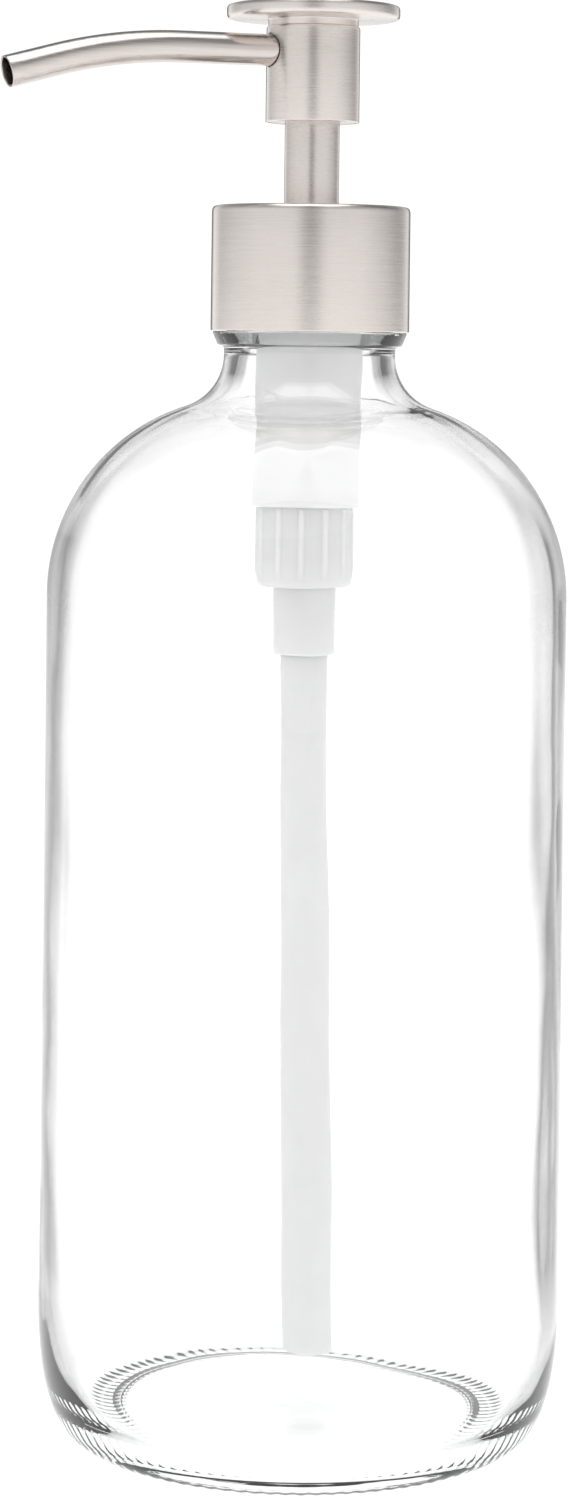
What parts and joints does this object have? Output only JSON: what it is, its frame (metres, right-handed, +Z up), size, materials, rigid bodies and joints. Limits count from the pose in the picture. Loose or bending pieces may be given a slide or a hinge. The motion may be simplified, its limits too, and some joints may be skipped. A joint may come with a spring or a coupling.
{
  "type": "soap pump dispenser",
  "caption": "Round-shouldered clear glass bottle with a screw-on brushed steel lotion pump: sprung press head, swivelling curved spout and dip tube.",
  "frame": {"origin": "centre of the bottle's bearing ring, on the surface that it stands on", "axes": "+Z up along the bottle's axis; the spout points along -X at rest"},
  "size_m": [0.1056, 0.0946, 0.2589],
  "materials": {
    "bottle_glass": "clear flint glass, polished",
    "brushed_steel": "fine satin brushing around the axis",
    "bright_steel": "polished stainless steel",
    "translucent_plastic": "translucent natural polypropylene",
    "white_plastic": "moulded white polypropylene",
    "seal_rubber": "smooth soft rubber"
  },
  "bodies": {
    "bottle": {"bottle": "bottle_glass"},
    "pump_body": {"neck_gasket": "seal_rubber", "pump_housing": "translucent_plastic", "guide_ring": "white_plastic", "ball_cage": "white_plastic", "dip_tube": "translucent_plastic", "return_spring": "bright_steel"},
    "collar": {"collar_shell": "brushed_steel", "collar_insert": "white_plastic"},
    "inlet_valve": {"inlet_ball": "bright_steel"},
    "piston": {"piston": "white_plastic"},
    "head": {"stem_core": "white_plastic", "stem_sleeve": "brushed_steel", "head_base_ring": "brushed_steel", "head_core": "white_plastic", "head_shell": "brushed_steel", "thumb_disc": "brushed_steel", "spout_tube": "brushed_steel", "spout_o_ring": "seal_rubber"},
    "outlet_valve": {"outlet_ball": "bright_steel"}
  },
  "joints": [
    {"name": "pump_lift", "type": "slide", "parent": "bottle", "child": "pump_body", "axis": [0, 0, 1], "range_m": [0, 0.00423]},
    {"name": "collar_turn", "type": "hinge", "parent": "pump_body", "child": "collar", "pos_m": [0, 0, 0.211], "axis": [0, 0, 1], "range_deg": [0, 360]},
    {"name": "head_press", "type": "slide", "parent": "pump_body", "child": "piston", "axis": [0, 0, -1], "range_m": [0, 0.0145], "stiffness_N_per_m": 600, "springref_m": -0.018, "deforming": ["return_spring"]},
    {"name": "head_swivel", "type": "hinge", "parent": "piston", "child": "head", "pos_m": [0, 0, 0.23], "axis": [0, 0, 1], "continuous": true},
    {"name": "inlet_ball_lift", "type": "slide", "parent": "pump_body", "child": "inlet_valve", "axis": [0, 0, 1], "range_m": [0, 0.0018]},
    {"name": "outlet_ball_lift", "type": "slide", "parent": "head", "child": "outlet_valve", "axis": [0, 0, 1], "range_m": [0, 0.0015]}
  ],
  "couplings": [
    {"joint": "collar_turn", "follows": "pump_lift", "rad_per_m": 1485.4}
  ]
}
